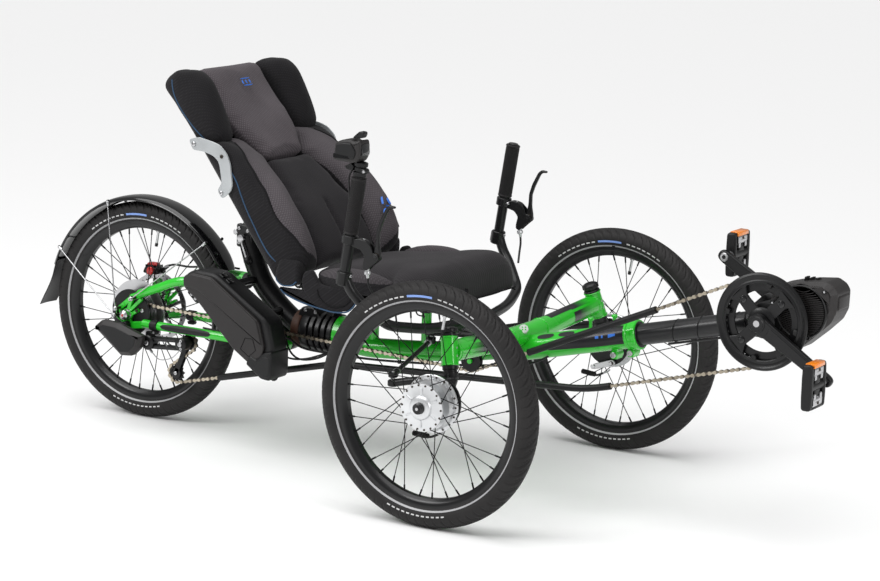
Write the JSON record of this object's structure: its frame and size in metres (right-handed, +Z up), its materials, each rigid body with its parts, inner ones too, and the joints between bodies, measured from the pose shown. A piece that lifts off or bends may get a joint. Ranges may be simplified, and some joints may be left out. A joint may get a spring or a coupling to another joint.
{
  "type": "recumbent tricycle",
  "caption": "Recumbent adult tricycle with steered front wheels, a sprung driven rear wheel, padded reclining seat, upright grips and a motor at the end of its boom.",
  "frame": {"origin": "on the ground, under the middle of the overall bounding box", "axes": "+X forwards, +Y to the rider's left, +Z up"},
  "size_m": [2.019, 0.883, 0.8401],
  "materials": {
    "alloy": "satin",
    "bare_steel": "satin",
    "black_fabric": "matte",
    "black_paint": "satin",
    "black_plastic": "matte",
    "chain_steel": "satin",
    "gloss_black": "glossy",
    "green_paint": "glossy",
    "grey_fabric": "matte",
    "grip_rubber": "matte",
    "tyre_rubber": "matte"
  },
  "bodies": {
    "frame": {"main_frame": "green_paint", "clamp_bolts": "bare_steel", "rear_riser": "black_paint", "elastomer": "grip_rubber", "seat_base_frame": "black_paint", "seat_pads": "grey_fabric", "chain_tubes": "black_plastic", "battery_case": "black_plastic", "frame_cables": "black_plastic", "chain": "chain_steel"},
    "backrest": {"back_frame": "black_paint", "back_cushion": "grey_fabric", "back_side_pads": "black_fabric", "back_brackets": "alloy"},
    "recline_lever": {"recline_lever": "black_paint"},
    "boom": {"boom_tube": "black_paint", "motor_housing": "black_plastic"},
    "crank": {"chainring": "black_paint", "chainguard": "black_paint", "crank_arms": "black_paint"},
    "pedal_right": {"pedal_right": "black_paint"},
    "pedal_left": {"pedal_left": "black_paint"},
    "handlebar": {"handlebar": "black_paint", "grips": "grip_rubber", "brake_perches": "black_paint", "control_unit": "black_plastic", "bar_cables": "black_plastic"},
    "shift_lever": {"shift_lever": "black_plastic"},
    "swingarm": {"swingarm": "green_paint", "caliper": "black_paint", "derailleur_body": "black_paint", "derailleur_guard": "black_plastic", "mudguard": "gloss_black", "mudguard_stays": "bare_steel"},
    "rear_wheel": {"tyre_rear": "tyre_rubber", "rim_rear": "black_paint", "hub_rear": "black_paint", "spokes_rear": "black_paint", "disc_rotor": "bare_steel"},
    "cassette": {"cassette": "bare_steel"},
    "derailleur_cage": {"derailleur_cage": "black_paint"},
    "jockey_upper": {"jockey_upper": "black_plastic"},
    "jockey_lower": {"jockey_lower": "black_plastic"},
    "idler_wheel": {"idler_wheel": "black_plastic"},
    "brake_lever_right": {"brake_lever_right": "black_paint"},
    "knuckle_right": {"knuckle_right": "black_paint"},
    "brake_arm_right": {"brake_arm_right": "black_paint"},
    "drag_link_right": {"drag_link_right": "black_paint"},
    "front_wheel_right": {"tyre_front_right": "tyre_rubber", "rim_front_right": "black_paint", "hub_front_right": "alloy", "spokes_front_right": "black_paint"},
    "brake_lever_left": {"brake_lever_left": "black_paint"},
    "knuckle_left": {"knuckle_left": "black_paint"},
    "brake_arm_left": {"brake_arm_left": "black_paint"},
    "drag_link_left": {"drag_link_left": "black_paint"},
    "front_wheel_left": {"tyre_front_left": "tyre_rubber", "rim_front_left": "black_paint", "hub_front_left": "alloy", "spokes_front_left": "black_paint"}
  },
  "joints": [
    {"name": "recline", "type": "hinge", "parent": "frame", "child": "backrest", "pos_m": [-0.1995, 0, 0.402], "axis": [0, 1, 0], "range_deg": [-4, 6]},
    {"name": "recline_clamp", "type": "hinge", "parent": "frame", "child": "recline_lever", "pos_m": [-0.4435, 0, 0.452], "axis": [0, 1, 0], "range_deg": [0, 60]},
    {"name": "boom_slide", "type": "slide", "parent": "frame", "child": "boom", "axis": [0.9719, 0, 0.2352], "range_m": [-0.02, 0.02], "deforming": ["chain"]},
    {"name": "crank_spin", "type": "hinge", "parent": "boom", "child": "crank", "pos_m": [0.8365, 0, 0.438], "axis": [0, 1, 0], "continuous": true},
    {"name": "pedal_right_spin", "type": "hinge", "parent": "crank", "child": "pedal_right", "pos_m": [0.98576, 0, 0.34473], "axis": [0, 1, 0], "continuous": true},
    {"name": "pedal_left_spin", "type": "hinge", "parent": "crank", "child": "pedal_left", "pos_m": [0.68724, 0, 0.53127], "axis": [0, 1, 0], "continuous": true},
    {"name": "handlebar_steer", "type": "hinge", "parent": "frame", "child": "handlebar", "pos_m": [0.1635, 0, 0.345], "axis": [0, 0, 1], "range_deg": [-20, 20]},
    {"name": "knuckle_right_steer", "type": "hinge", "parent": "frame", "child": "knuckle_right", "pos_m": [0.2705, -0.3085, 0.3445], "axis": [-0.222, 0.241, 0.9448], "range_deg": [-19, 19]},
    {"name": "drag_link_right_swing", "type": "hinge", "parent": "handlebar", "child": "drag_link_right", "pos_m": [0.0665, -0.045, 0.294], "axis": [-0.1025, 0.0129, -0.9947], "range_deg": [-22, 22]},
    {"name": "front_wheel_right_spin", "type": "hinge", "parent": "knuckle_right", "child": "front_wheel_right", "pos_m": [0.2785, -0.3975, 0.25], "axis": [0, 1, 0], "continuous": true},
    {"name": "brake_lever_right_pull", "type": "hinge", "parent": "handlebar", "child": "brake_lever_right", "pos_m": [0.0955, -0.312, 0.516], "axis": [0, -1, 0], "range_deg": [0, 14], "stiffness_Nm_per_rad": 1, "springref_deg": -14.32},
    {"name": "brake_arm_right_turn", "type": "hinge", "parent": "knuckle_right", "child": "brake_arm_right", "pos_m": [0.2945, -0.35, 0.205], "axis": [0, 1, 0], "range_deg": [0, 9]},
    {"name": "knuckle_left_steer", "type": "hinge", "parent": "frame", "child": "knuckle_left", "pos_m": [0.2705, 0.3085, 0.3445], "axis": [-0.222, -0.241, 0.9448], "range_deg": [-19, 19]},
    {"name": "drag_link_left_swing", "type": "hinge", "parent": "handlebar", "child": "drag_link_left", "pos_m": [0.0665, 0.045, 0.294], "axis": [-0.1025, -0.0129, -0.9947], "range_deg": [-22, 22]},
    {"name": "front_wheel_left_spin", "type": "hinge", "parent": "knuckle_left", "child": "front_wheel_left", "pos_m": [0.2785, 0.3975, 0.25], "axis": [0, 1, 0], "continuous": true},
    {"name": "brake_lever_left_pull", "type": "hinge", "parent": "handlebar", "child": "brake_lever_left", "pos_m": [0.0955, 0.312, 0.516], "axis": [0, -1, 0], "range_deg": [0, 14], "stiffness_Nm_per_rad": 1, "springref_deg": -14.32},
    {"name": "brake_arm_left_turn", "type": "hinge", "parent": "knuckle_left", "child": "brake_arm_left", "pos_m": [0.2945, 0.35, 0.205], "axis": [0, 1, 0], "range_deg": [0, 9]},
    {"name": "shift_lever_push", "type": "hinge", "parent": "handlebar", "child": "shift_lever", "pos_m": [0.0445, -0.314, 0.746], "axis": [0, 1, 0], "range_deg": [0, 6], "stiffness_Nm_per_rad": 0.2, "springref_deg": -17.19},
    {"name": "swingarm_pivot", "type": "hinge", "parent": "frame", "child": "swingarm", "pos_m": [-0.3265, 0, 0.228], "axis": [0, 1, 0], "range_deg": [0, 3.5], "stiffness_Nm_per_rad": 1500, "springref_deg": -5.73, "deforming": ["elastomer", "chain"]},
    {"name": "rear_wheel_spin", "type": "hinge", "parent": "swingarm", "child": "rear_wheel", "pos_m": [-0.7255, 0, 0.25], "axis": [0, 1, 0], "continuous": true},
    {"name": "cassette_spin", "type": "hinge", "parent": "swingarm", "child": "cassette", "pos_m": [-0.7255, 0, 0.25], "axis": [0, 1, 0], "continuous": true},
    {"name": "derailleur_cage_swing", "type": "hinge", "parent": "swingarm", "child": "derailleur_cage", "pos_m": [-0.5675, -0.052, 0.203], "axis": [0, 1, 0], "range_deg": [0, 5], "stiffness_Nm_per_rad": 0.5, "springref_deg": -17.19},
    {"name": "jockey_upper_spin", "type": "hinge", "parent": "derailleur_cage", "child": "jockey_upper", "pos_m": [-0.5675, -0.052, 0.203], "axis": [0, 1, 0], "continuous": true},
    {"name": "jockey_lower_spin", "type": "hinge", "parent": "derailleur_cage", "child": "jockey_lower", "pos_m": [-0.5975, -0.052, 0.129], "axis": [0, 1, 0], "continuous": true},
    {"name": "idler_spin", "type": "hinge", "parent": "frame", "child": "idler_wheel", "pos_m": [0.1725, -0.052, 0.265], "axis": [0, 1, 0], "continuous": true}
  ],
  "couplings": [
    {"joint": "knuckle_right_steer", "follows": "handlebar_steer", "ratio": 0.92586},
    {"joint": "drag_link_right_swing", "follows": "handlebar_steer", "ratio": 1.0745},
    {"joint": "brake_arm_right_turn", "follows": "brake_lever_right_pull", "ratio": 0.6},
    {"joint": "knuckle_left_steer", "follows": "handlebar_steer", "ratio": 0.92586},
    {"joint": "drag_link_left_swing", "follows": "handlebar_steer", "ratio": 1.0745},
    {"joint": "brake_arm_left_turn", "follows": "brake_lever_left_pull", "ratio": 0.6},
    {"joint": "cassette_spin", "follows": "crank_spin", "ratio": 3.3846},
    {"joint": "jockey_upper_spin", "follows": "crank_spin", "ratio": -4},
    {"joint": "jockey_lower_spin", "follows": "crank_spin", "ratio": 4},
    {"joint": "idler_spin", "follows": "crank_spin", "ratio": -4}
  ]
}
